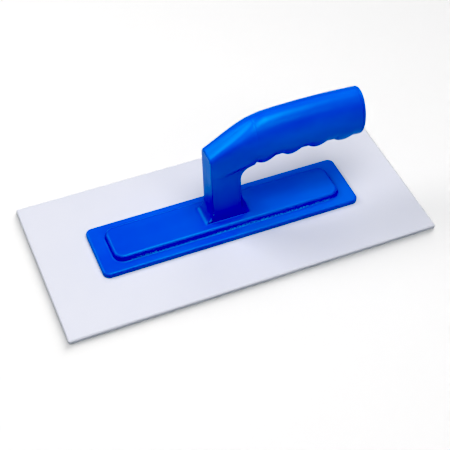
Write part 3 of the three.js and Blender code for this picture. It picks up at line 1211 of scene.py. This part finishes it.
@dataclass
class Handle:
    """The one-piece moulding: foot, neck, arch and grip, with the bore that the cap closes.

    Attributes:
        foot: the flange and deck.
        arch: the neck and grip.
        lift: the height of the blade's top face.
        bore_start: where the bore ends, blind.
        wall: the grip's wall.
        bore_draft: how much the bore narrows towards its blind end.
        mouth_lip: how far the bore's mouth stands in.
        columns: how many even points a ring has.
        crowding: how much they crowd at the nose's corners.
        parting_width: half the width of the line where the mould parts.
        parting_depth: its depth.
        witness_x: where a fine line crosses the grip's back.
        witness_width: half its width.
        witness_depth: its depth.
        name: the piece's name.
    """

    foot: Foot
    arch: Arch
    lift: float
    bore_start: float = 21.0
    wall: float = 3.0
    bore_draft: float = 0.3
    mouth_lip: float = 0.25
    columns: int = 200
    crowding: float = 0.62
    parting_width: float = 0.22
    parting_depth: float = 0.07
    witness_x: float = 18.6
    witness_width: float = 0.35
    witness_depth: float = 0.12
    name: str = field(default="handle_moulding", init=False)

    def directions(self) -> Array:
        """Spreads the columns evenly, with a few more beside the parting line."""
        even = np.arange(self.columns) * TURN / self.columns
        beside = np.array([-0.021, -0.013, -0.006, 0.006, 0.013, 0.021])
        extra = np.concatenate([beside, beside + math.pi])
        return merged(np.mod(np.concatenate([even, extra]), TURN), 1e-4)

    def first_crossing(self, inside: Callable[[Array], Array], start: Array, end: Array) -> Array:
        """Halves the stretch from start to end until it closes on where inside changes.

        Args:
            inside: says for each distance whether it is still on start's side.
            start: distances on the near side.
            end: distances on the far side.

        Returns:
            The distances of the change.
        """
        for _ in range(40):
            middle = (start + end) / 2.0
            near = inside(middle)
            start = np.where(near, middle, start)
            end = np.where(near, end, middle)
        return (start + end) / 2.0

    def neck_sections(self) -> Sections:
        """Places level rings from the deck up to the fan."""
        arch = self.arch
        rise = arch.front_rise
        flare = arch.deck_top + rise * (1.0 - np.cos(quarter(26)))
        shaft = np.linspace(flare[-1], arch.fan_centre[1], 18)[1:-1]
        z = np.concatenate([flare, shaft])
        front, rear = arch.front(z), arch.rear(z)
        low = np.clip((arch.base_fillet - (z - arch.deck_top)) / arch.base_fillet, 0.0, 1.0)
        side = arch.neck_half + arch.base_fillet * (1.0 - np.sqrt(1.0 - low * low))
        reach = (rear - front) / 2.0
        axis = np.tile([1.0, 0.0], (len(z), 1))
        return Sections((front + rear) / 2.0, z, axis, reach, side, np.zeros_like(z), reach, side)

    def fan_sections(self) -> Sections:
        """Places rings that turn about the fan's centre, from level to upright.

        They crowd where they pass over the nose's front edge.
        """
        arch = self.arch
        from_x, from_z = arch.fan_centre
        tip = math.atan2(arch.nose_top - from_z, arch.tip_x - from_x)
        crowd = tip + math.radians(2.6) * np.sin(np.linspace(-RIGHT_ANGLE, RIGHT_ANGLE, 27)) ** 3
        turn = merged(np.concatenate([np.linspace(RIGHT_ANGLE, math.pi, 64), crowd]), math.radians(0.045))
        turn = turn[::-1]
        step_x, step_z = np.cos(turn), np.sin(turn)

        def seen(test: Callable[[Array, Array], Array]) -> Callable[[Array], Array]:
            """Reads a test of x and z along each ring's line."""
            return lambda d: test(from_x + d * step_x, from_z + d * step_z)

        near = np.zeros_like(turn)
        inner = self.first_crossing(seen(lambda x, z: ~arch.in_plate(x, z)), near, near + 20.0)
        outer = self.first_crossing(
            seen(lambda x, z: (x >= arch.front(z)) & (z <= arch.top(x))), inner + 1.0, near + 70.0,
        )
        plate_end = self.first_crossing(
            seen(lambda x, z: (x >= arch.front(z)) & (z <= arch.centre(x))), inner + 1.0, near + 70.0,
        )
        middle = (inner + outer) / 2.0
        x, z = from_x + middle * step_x, from_z + middle * step_z
        axis = np.stack([-step_x, -step_z], axis=1)
        side = mix(arch.neck_half, arch.half_width, arch.share(x))
        return Sections(
            x, z, axis, (outer - inner) / 2.0, side,
            middle - (inner + plate_end) / 2.0, (plate_end - inner) / 2.0,
            np.full_like(x, arch.neck_half),
        )

    def grip_stations(self) -> Array:
        """Places the upright rings along the grip.

        They crowd at the web's end, at each ridge's edges, along the witness line and at the
        rim.
        """
        arch = self.arch
        crests = arch.ridge_first + arch.ridge_pitch * np.arange(arch.ridge_count)
        edges = np.concatenate([crests - arch.ridge_half, crests + arch.ridge_half])
        close = np.array([-0.6, -0.3, -0.12, 0.0, 0.12, 0.3, 0.6])
        near_edges = (edges[:, None] + close).ravel()
        web = arch.web_end + np.linspace(-1.0, 0.5, 16)
        witness = self.witness_x + np.linspace(-1.0, 1.0, 13)
        plain = np.linspace(arch.fan_centre[0], arch.end_x - arch.seam_round, 80)[1:]
        stations = merged(np.concatenate([plain, near_edges, web, witness]), 0.06)
        inside = (stations > arch.fan_centre[0]) & (stations < arch.end_x - arch.seam_round)
        return np.concatenate([stations[inside], [arch.end_x - arch.seam_round]])

    def grip_sections(self) -> Sections:
        """Places the grip's upright rings."""
        arch = self.arch
        x = self.grip_stations()
        floor = arch.bar_centre(x) - arch.half_height + arch.full_recess(x)
        low = mix(arch.throat(x), floor, smooth_step(x, arch.fan_centre[0], arch.web_end + 3.0))
        high = arch.top(x)
        middle = (low + high) / 2.0
        axis = np.tile([0.0, -1.0], (len(x), 1))
        web = arch.throat(x)
        plate_top = arch.centre(x)
        return Sections(
            x, middle, axis, (high - low) / 2.0, mix(arch.neck_half, arch.half_width, arch.share(x)),
            middle - (web + plate_top) / 2.0, (plate_top - web) / 2.0,
            np.full_like(x, arch.neck_half),
        )

    def crowded(self, u: Array, sections: Sections) -> Array:
        """Crowds the columns at a section's corners: u plus a share of sin 4u over 4.

        Args:
            u: the columns' directions.
            sections: the rings.

        Returns:
            Rows by columns of directions.
        """
        pull = mix(self.crowding, 0.0, smooth_step(sections.x, 5.0, 30.0))[:, None]
        return u + pull * np.sin(4.0 * u) / 4.0

    def distance(self, sections: Sections, along: Array, y: Array) -> Array:
        """Gives the signed distance to the handle's skin above the deck.

        Args:
            sections: the rings.
            along: places in each ring's plane, rows by columns.
            y: places across the tool.

        Returns:
            Rows by columns, negative inside.
        """
        arch = self.arch
        x, z = sections.spots(along)
        corner = arch.edge_round
        over_u = np.abs(along - sections.plate_middle[:, None]) - (sections.plate_half[:, None] - corner)
        over_y = np.abs(y) - (sections.plate_side[:, None] - corner)
        past = np.hypot(np.maximum(over_u, 0.0), np.maximum(over_y, 0.0))
        plate = past + np.minimum(np.maximum(over_u, over_y), 0.0) - corner
        plate = soft_max(plate, x - arch.web_end, arch.web_round)
        bar = soft_max(arch.bar_distance(x, y, z), arch.front(z) - x, arch.nose_round)
        whole = soft_min(bar, plate, arch.join_round + arch.join_growth * arch.share(x))
        parting = self.parting_depth * np.exp(-(y / self.parting_width) ** 2)
        witness = self.witness_depth * np.exp(-((x - self.witness_x) / self.witness_width) ** 2)
        upper = smooth_step(z, arch.crown - 1.0, arch.crown + 6.0)
        return whole + parting + witness * upper

    def skin(self, u: Array, sections: Sections) -> Array:
        """Finds the skin along each ring's rays, by halving.

        A ray leaves the section's centre towards (reach cos p, side sin p).

        Args:
            u: the columns' directions.
            sections: the rings.

        Returns:
            Rows by columns by three.
        """
        angle = self.crowded(u, sections)
        step_along = sections.reach[:, None] * np.cos(angle)
        step_y = sections.side[:, None] * np.sin(angle)
        start = np.zeros_like(angle)
        scale = self.first_crossing(
            lambda t: self.distance(sections, t * step_along, t * step_y) < 0.0, start, start + 1.9,
        )
        x, z = sections.spots(scale * step_along)
        return np.stack([x, scale * step_y, z], axis=-1)

    def bore_ring(self, u: Array, x: float, inset: float) -> Array:
        """Gives an upright oval ring of the bore, which narrows towards its blind end.

        Args:
            u: the columns' directions.
            x: where the ring stands.
            inset: how far it moves in.

        Returns:
            Columns by three.
        """
        arch = self.arch
        taper = self.bore_draft * (arch.end_x - x) / (arch.end_x - self.bore_start)
        ends = np.array([self.bore_start, arch.end_x])
        top = arch.top(ends).min() - self.wall
        valleys = np.array([arch.ridge_first - arch.ridge_half, arch.end_x])
        bottom = arch.bottom(valleys).max() + self.wall
        half_width = arch.half_width - self.wall - taper - inset
        half_height = (top - bottom) / 2.0 - taper - inset
        z = (top + bottom) / 2.0 - half_height * np.cos(u)
        return np.stack([np.full_like(u, x), half_width * np.sin(u), z], axis=-1)

    def rings(self) -> Array:
        """Runs from the middle of the sole over the deck, up the neck, along the grip and back
        down its bore."""
        u = self.directions()
        foot = self.foot.rings(u)
        sections = self.neck_sections().joined(self.fan_sections()).joined(self.grip_sections())
        upper = self.skin(u, sections)
        spread = 1.0 - np.cos(quarter(9))[1:-1]
        deck = np.stack([mix(foot[-1], upper[0], 1.0 - share) for share in spread[::-1]])
        rim = [self.rim_ring(upper[-1], angle) for angle in quarter(3)[1:]]
        bore_x = [self.arch.end_x, *np.linspace(self.arch.end_x - 0.5, self.bore_start, 8)]
        insets = [self.mouth_lip, *np.zeros(len(bore_x) - 1)]
        bore = [self.bore_ring(u, x, inset) for x, inset in zip(bore_x, insets)]
        rings = np.concatenate([foot, deck, upper, np.stack(rim), np.stack(bore)])
        return rings + np.array([0.0, 0.0, self.lift])

    def rim_ring(self, ring: Array, angle: float) -> Array:
        """Draws the last ring in round the rim's small quarter circle.

        Args:
            ring: the last ring, columns by three.
            angle: how far round the circle, in radians.

        Returns:
            The new ring.
        """
        small = self.arch.seam_round
        inward = ring - ring.mean(axis=0)
        inward[:, 0] = 0.0
        inward /= np.linalg.norm(inward, axis=1, keepdims=True)
        drawn = ring - inward * small * (1 - math.cos(angle))
        drawn[:, 0] = self.arch.end_x - small * (1 - math.sin(angle))
        return drawn

    def build(self) -> bpy.types.Object:
        """Builds the moulding as one closed skin."""
        return RingSkin(self.rings()).build(self.name, 40.0)


@dataclass
class EndCap:
    """The plate that closes the grip, with its skirt inside the bore.

    Attributes:
        handle: the moulding that it fits.
        high_x: its outer face.
        low_x: the end of its skirt.
        edge_radius: the rounding around the face.
        border: the width of the flat border.
        dish: the depth of the dish inside the border.
        dish_slope: the width over which it deepens.
        columns: how many points a ring has.
        skirt_gap: the gap between skirt and bore.
        skirt_wall: the skirt's wall.
        skirt_chamfer: the chamfer on both edges of the skirt's end.
        floor_insets: the insets of the rings in the dish's floor.
        name: the piece's name.
    """

    handle: Handle
    high_x: float
    low_x: float
    edge_radius: float = 1.0
    border: float = 2.6
    dish: float = 0.6
    dish_slope: float = 0.9
    columns: int = 144
    skirt_gap: float = 0.3
    skirt_wall: float = 2.0
    skirt_chamfer: float = 0.3
    floor_insets: tuple[float, ...] = (6.0, 9.0)
    name: str = field(default="grip_cap", init=False)

    def plate_ring(self, u: Array, x: float, inset: float) -> Array:
        """Gives a ring of the plate: the grip's own oval at its end, moved in.

        Args:
            u: the columns' directions.
            x: where the ring stands.
            inset: how far it moves in.

        Returns:
            Columns by three.
        """
        arch = self.handle.arch
        end = np.array([arch.end_x])
        centre = arch.centre(end)[0]
        lower = np.cos(u) > 0.0
        height = np.where(lower, centre - arch.bottom(end)[0], arch.top(end)[0] - centre) - inset
        y = (arch.half_width - inset) * np.sin(u)
        return np.stack([np.full_like(u, x), y, centre - height * np.cos(u)], axis=-1)

    def build(self) -> bpy.types.Object:
        """Builds the cap from the hollow of its skirt, out over the skirt, to its dished face."""
        u = np.arange(self.columns) * TURN / self.columns
        seat = self.handle.arch.end_x
        seam = self.handle.arch.seam_round
        gap, wall = self.skirt_gap, self.skirt_wall
        bore = self.handle.bore_ring
        chamfer = self.skirt_chamfer
        hollow = [
            bore(u, seat, gap + wall),
            bore(u, self.low_x + chamfer, gap + wall),
            bore(u, self.low_x, gap + wall - chamfer),
        ]
        skirt = [
            bore(u, self.low_x, gap + chamfer),
            bore(u, self.low_x + chamfer, gap),
            bore(u, seat, gap),
        ]
        seat_edge = [self.plate_ring(u, seat + rise, inset) for rise, inset in rounding(3, seam)]
        edge = [
            self.plate_ring(u, self.high_x - drop, inset)
            for inset, drop in rounding(7, self.edge_radius)
        ]
        slope = quarter(4) / RIGHT_ANGLE
        dish = [
            self.plate_ring(
                u, self.high_x - self.dish * smooth_step(s, 0.0, 1.0),
                self.border + self.dish_slope * s,
            )
            for s in slope
        ]
        floor = [self.plate_ring(u, self.high_x - self.dish, inset) for inset in self.floor_insets]
        rings = np.stack(hollow + skirt + seat_edge + edge + dish + floor)
        return RingSkin(rings + np.array([0.0, 0.0, self.handle.lift])).build(self.name, 40.0)


# ---- screws --------------------------------------------------------------------------------


@dataclass
class Screw:
    """A countersunk self-tapping screw, head down, with a cross recess.

    Attributes:
        number: which of the screws it is.
        low: the lowest corner of its box.
        high: the highest corner of its box.
        shank_radius: the radius at the thread's crest.
        rim: the height of the head's upright rim.
        face_round: the small rounding of the head's face.
        head_height: the height at which the cone meets the shank.
        recess_half_width: half the width of an arm of the cross.
        recess_depth: the cross's depth.
        recess_reach: the length of an arm from the middle.
        recess_taper: the cross's size at the bottom, as a share of that at the mouth.
        thread_pitch: from one turn of the thread to the next.
        thread_depth: its depth.
        tip: the length of the tip.
        arm_steps: faces along each of the cross's sides.
    """

    number: int
    low: Array
    high: Array
    shank_radius: float = 1.75
    rim: float = 0.3
    face_round: float = 0.08
    head_height: float = 2.05
    recess_half_width: float = 0.55
    recess_depth: float = 1.3
    recess_reach: float = 1.8
    recess_taper: float = 0.55
    thread_pitch: float = 1.5
    thread_depth: float = 0.42
    tip: float = 0.8
    arm_steps: int = 6

    @property
    def name(self) -> str:
        """The piece's name."""
        return f"screw_{self.number}_turned"

    def angles(self) -> Array:
        """Gives the columns' angles, with one at each corner of the cross."""
        corner = math.atan2(self.recess_half_width, self.recess_reach)
        stops = np.array([0.0, corner, math.pi / 4, RIGHT_ANGLE - corner, RIGHT_ANGLE])
        fine = np.interp(np.arange(4 * self.arm_steps) / self.arm_steps, np.arange(5), stops)
        return np.concatenate([fine + turn * RIGHT_ANGLE for turn in range(4)])

    def cross(self, angle: Array) -> Array:
        """Gives the cross's radius: the nearer of an arm's end and an arm's side.

        Args:
            angle: directions.

        Returns:
            The radius in each.
        """
        c, s = np.abs(np.cos(angle)), np.abs(np.sin(angle))
        longer, shorter = np.maximum(c, s), np.minimum(c, s)
        end = self.recess_reach / longer
        side = self.recess_half_width / np.maximum(shorter, 1e-6)
        return np.minimum(end, side)

    def build(self) -> bpy.types.Object:
        """Turns the screw: recess, face, cone, threaded shank and tip.

        The thread's radius at height z and angle a falls from the crest by a triangle wave of
        z over the pitch less a over a full turn.

        Returns:
            The new object.
        """
        angle = self.angles()
        head = (self.high[0] - self.low[0]) / 2.0
        bottom, top = 0.0, self.high[2] - self.low[2]
        cross = self.cross(angle)
        thread_z = np.linspace(self.head_height + 0.3, top - self.tip, 48)
        wave = np.abs(np.mod(thread_z[:, None] / self.thread_pitch - angle / TURN, 1.0) * 2.0 - 1.0)
        entry = smooth_step(thread_z, thread_z[0], thread_z[0] + 1.0)[:, None]
        thread = self.shank_radius - self.thread_depth * smooth_step(wave, 0.1, 0.9) * entry
        plain = [
            (cross * self.recess_taper, self.recess_depth),
            (cross * mix(self.recess_taper, 1.0, 0.85), 0.25),
            (cross * 1.03, bottom),
            (np.full_like(angle, head - self.face_round), bottom),
            (np.full_like(angle, head), self.face_round),
            (np.full_like(angle, head), self.rim),
            (np.full_like(angle, self.shank_radius), self.head_height),
        ]
        ends = [
            (thread[-1] * 0.72, top - self.tip * 0.4),
            (np.full_like(angle, 0.25), top),
        ]
        radii = np.concatenate([[r for r, _ in plain], thread, [r for r, _ in ends]])
        heights = np.concatenate([[z for _, z in plain], thread_z, [z for _, z in ends]])
        x = radii * np.cos(angle)
        y = radii * np.sin(angle)
        z = np.broadcast_to(heights[:, None], x.shape)
        middle = (self.low + self.high) / 2.0
        place = np.array([middle[0], middle[1], self.low[2]])
        return RingSkin(np.stack([x, y, z], axis=-1) + place).build(self.name, 32.0)


# ---- studio --------------------------------------------------------------------------------


@dataclass
class Softbox:
    """A soft rectangular light.

    Attributes:
        name: its name.
        azimuth: its direction from the tool in degrees, 0 in front and positive to the right.
        elevation: its height above the floor in degrees.
        distance: how far off it is, in metres.
        size: its width and height in metres.
        power: its power in watts.
    """

    name: str
    azimuth: float
    elevation: float
    distance: float
    size: tuple[float, float]
    power: float

    def build(self, target: Vector) -> None:
        """Hangs the light and points it at the tool.

        Args:
            target: the point that it faces, in metres.
        """
        data = bpy.data.lights.new(self.name, "AREA")
        data.shape = "RECTANGLE"
        data.size, data.size_y = self.size
        data.energy = self.power
        lamp = bpy.data.objects.new(self.name, data)
        away = bearing(self.azimuth, self.elevation)
        lamp.location = target + away * self.distance
        lamp.rotation_euler = away.to_track_quat("Z", "Y").to_euler()
        bpy.context.scene.collection.objects.link(lamp)


def bearing(azimuth: float, elevation: float) -> Vector:
    """Gives the unit direction at an azimuth and elevation in degrees, 0 being in front."""
    turn, rise = math.radians(azimuth), math.radians(elevation)
    return Vector((math.sin(turn) * math.cos(rise), -math.cos(turn) * math.cos(rise), math.sin(rise)))


@dataclass
class Studio:
    """The floor, the lights and the camera.

    Attributes:
        blade_top: the height of the blade's top face in metres, which the camera aims at.
        floor_half: half the floor's side in metres.
        floor_colour: its colour.
        glow_reach: how far out in metres its glow starts and is full.
        sky: the brightness of the surroundings, as the tool sees it.
        black_level: the tone curve's black point in red, green and blue.
        azimuth: the camera's direction in degrees, as a softbox's.
        elevation: its height above the floor in degrees.
        roll: its roll in degrees.
        distance: how far off it is, in metres.
        aim: the x and y in metres of the point that it faces.
        focal_length: its focal length in millimetres.
        softboxes: the soft lights.
        ground_azimuth: the direction of the floor's own lamp in degrees.
        ground_elevation: its height above the floor in degrees.
        ground_angle: the lamp's width in degrees, as the floor sees it.
        ground_strength: its strength.
    """

    blade_top: float
    floor_half: float = 4.0
    floor_colour: Colour = (0.338, 0.336, 0.336)
    glow_reach: tuple[float, float] = (0.4, 1.6)
    sky: float = 0.01
    black_level: Triple = (0.10, 0.078, 0.06)
    azimuth: float = -23.42
    elevation: float = 47.81
    roll: float = 0.98
    distance: float = 0.8145
    aim: tuple[float, float] = (-0.0030, -0.0071)
    focal_length: float = 89.2
    softboxes: tuple[Softbox, ...] = (
        Softbox("high_front", 0.0, 74.0, 1.0, (0.5, 0.5), 4.9),
        Softbox("high_left", -60.0, 78.0, 1.0, (0.5, 0.5), 1.1),
        Softbox("high_right", 60.0, 78.0, 1.0, (0.5, 0.5), 3.3),
        Softbox("left", -60.0, 46.0, 1.0, (0.5, 0.5), 0.5),
        Softbox("grip_strip", 20.0, 41.0, 1.0, (0.30, 0.15), 1.1),
        Softbox("rear_left", -131.0, 46.0, 1.0, (0.42, 0.4), 4.5),
        Softbox("rear_right", 140.0, 46.0, 1.0, (0.6, 0.4), 1.3),
    )
    ground_azimuth: float = 137.0
    ground_elevation: float = 20.0
    ground_angle: float = 32.0
    ground_strength: float = 9.6

    def make_floor(self) -> bpy.types.Object:
        """Lays a plain pale floor, which glows a little where the softboxes no longer reach."""
        half = self.floor_half / MM
        corners = np.array([[-half, -half, 0.0], [half, -half, 0.0], [half, half, 0.0], [-half, half, 0.0]])
        floor = make_object("floor", corners, [[0, 1, 2, 3]], 180.0)
        tree = ShaderTree("studio_floor")
        along, across, _ = tree.axes()
        away = (along * along + across * across) ** 0.5
        glow = tree.remap(away, *self.glow_reach)
        floor.data.materials.append(tree.finish(
            Base_Color=(*self.floor_colour, 1.0), Roughness=0.9, Specular_IOR_Level=0.0,
            Emission_Color=tree.blend(glow, (0.0, 0.0, 0.0), (1.0, 1.0, 1.0)), Emission_Strength=1.0,
        ))
        return floor

    def make_ground_light(self, floor: bpy.types.Object, blade: bpy.types.Object) -> None:
        """Lights the floor alone, low from the rear right, so that the sheet shades its edges.

        Args:
            floor: the only thing that the light falls on.
            blade: the only thing that stands in its way.
        """
        data = bpy.data.lights.new("ground", "SUN")
        data.energy = self.ground_strength
        data.angle = math.radians(self.ground_angle)
        lamp = bpy.data.objects.new("ground", data)
        away = bearing(self.ground_azimuth, self.ground_elevation)
        lamp.rotation_euler = away.to_track_quat("Z", "Y").to_euler()
        bpy.context.scene.collection.objects.link(lamp)
        for key, thing in (("receiver_collection", floor), ("blocker_collection", blade)):
            group = bpy.data.collections.new(f"ground_{key}")
            group.objects.link(thing)
            setattr(lamp.light_linking, key, group)

    def make_camera(self) -> None:
        """Sets up the camera, which looks down on the tool from its front left."""
        data = bpy.data.cameras.new("camera")
        data.lens = self.focal_length
        data.sensor_width = 36.0
        data.clip_start = 0.01
        camera = bpy.data.objects.new("camera", data)
        away = bearing(self.azimuth, self.elevation)
        turn = away.to_track_quat("Z", "Y").to_matrix().to_4x4()
        spot = Matrix.Translation(Vector((*self.aim, self.blade_top)) + away * self.distance)
        camera.matrix_world = spot @ turn @ Matrix.Rotation(math.radians(self.roll), 4, "Z")
        bpy.context.scene.collection.objects.link(camera)
        bpy.context.scene.camera = camera

    def make_tone_curve(self) -> None:
        """Sets a plain tone curve whose black point lies a little above zero."""
        view = bpy.context.scene.view_settings
        view.view_transform = "Standard"
        view.look = "None"
        view.use_curve_mapping = True
        view.curve_mapping.black_level = self.black_level
        view.curve_mapping.update()

    def make_sky(self) -> None:
        """Surrounds the tool with even white, which the camera sees at full white."""
        world = bpy.data.worlds.new("studio")
        world.use_nodes = True
        nodes, links = world.node_tree.nodes, world.node_tree.links
        seen = nodes.new("ShaderNodeLightPath")
        level = nodes.new("ShaderNodeMapRange")
        level.inputs["To Min"].default_value = self.sky
        level.inputs["To Max"].default_value = 1.0
        links.new(seen.outputs["Is Camera Ray"], level.inputs["Value"])
        links.new(level.outputs[0], nodes["Background"].inputs["Strength"])
        nodes["Background"].inputs["Color"].default_value = (1.0, 1.0, 1.0, 1.0)
        bpy.context.scene.world = world

    def build(self, blade: bpy.types.Object) -> None:
        """Sets up everything around the tool.

        Args:
            blade: the sheet that shades the floor.
        """
        self.make_tone_curve()
        self.make_sky()
        self.make_camera()
        self.make_ground_light(self.make_floor(), blade)
        for softbox in self.softboxes:
            softbox.build(Vector((0.0, 0.0, self.blade_top)))


# ---- the tool ------------------------------------------------------------------------------

HANDLE_FINISH = MouldedPlastic(
    name="blue_moulding", colour=(0.0, 0.080, 0.58), swirl=(0.0, 0.106, 0.63),
    roughness=0.38, scuff=0.12, grain=0.000012, ripple=0.0004,
)
CAP_FINISH = MouldedPlastic(
    name="blue_cap", colour=(0.0, 0.074, 0.56), swirl=(0.0, 0.096, 0.60),
    roughness=0.45, scuff=0.15, grain=0.000015, ripple=0.0002,
)
BLADE_FINISH = SheetPlastic(
    name="matt_sheet", colour=(0.606, 0.611, 0.672), shade=(0.591, 0.598, 0.665),
    roughness=0.55, pebble=0.00001, scratch=0.00001,
)
SCREW_FINISH = PlatedSteel(
    name="zinc_plate", colour=(0.62, 0.64, 0.66), dull=(0.42, 0.43, 0.44), roughness=0.28,
)


def fit(piece: bpy.types.Object, nodes: list[str], material: bpy.types.Material) -> None:
    """Dresses a piece, stands it for its CAD nodes and reports it.

    Args:
        piece: the new object.
        nodes: the CAD nodes that it stands for.
        material: its material.
    """
    piece.data.materials.append(material)
    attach(piece, "root")
    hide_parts(*nodes)
    triangles = sum(len(face.vertices) - 2 for face in piece.data.polygons)
    LOG.info("%s: %d triangles, %s", piece.name, triangles, material.name)


def main() -> None:
    """Builds the trowel and its studio."""
    blade_low, blade_high = box_of("blade")
    handle_low, handle_high = box_of("handle")
    cap_low, cap_high = box_of("grip_end_cap")
    screw_nodes = sorted(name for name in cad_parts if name.startswith("screw_"))
    screw_boxes = [box_of(name) for name in screw_nodes]
    centres = np.array([((low + high) / 2.0)[:2] for low, high in screw_boxes])

    sheet = Blade(blade_low, blade_high, centres).build()
    fit(sheet, ["blade"], BLADE_FINISH.dress())
    Studio(blade_top=blade_high[2] * MM).build(sheet)

    foot_centre = centres[:, 0].mean()
    foot = Foot(foot_centre, foot_centre - handle_low[0], handle_high[1])
    lift = handle_low[2]
    arch = Arch(
        deck_top=foot.deck_top, end_x=handle_high[0], half_width=cap_high[1],
        top_height=handle_high[2] - lift,
    )
    handle = Handle(foot, arch, lift)
    # Nicks beside the deck and chips at the neck's foot, whose pale colour also paints glints.
    wear_and_glints = WearAndGlints(
        line_half_length=(foot.deck_half_length - foot.deck_corner_radius) * MM,
        line_side=foot.deck_half_width * MM,
        line_height=(lift + foot.thickness + 0.5 * foot.deck_fillet) * MM,
        foot_x=(arch.front_x - 0.5 * arch.front_reach) * MM,
        foot_side=arch.neck_half * MM,
        foot_height=(lift + arch.deck_top + 0.6 * arch.front_rise) * MM,
    )
    fit(handle.build(), ["handle"], HANDLE_FINISH.dress(wear_and_glints))

    cap = EndCap(handle, cap_high[0], cap_low[0])
    fit(cap.build(), ["grip_end_cap"], CAP_FINISH.dress())

    screw_material = SCREW_FINISH.dress()
    for number, (node, (low, high)) in enumerate(zip(screw_nodes, screw_boxes), start=1):
        fit(Screw(number, low, high).build(), [node], screw_material)


if __name__ == "__main__":
    main()
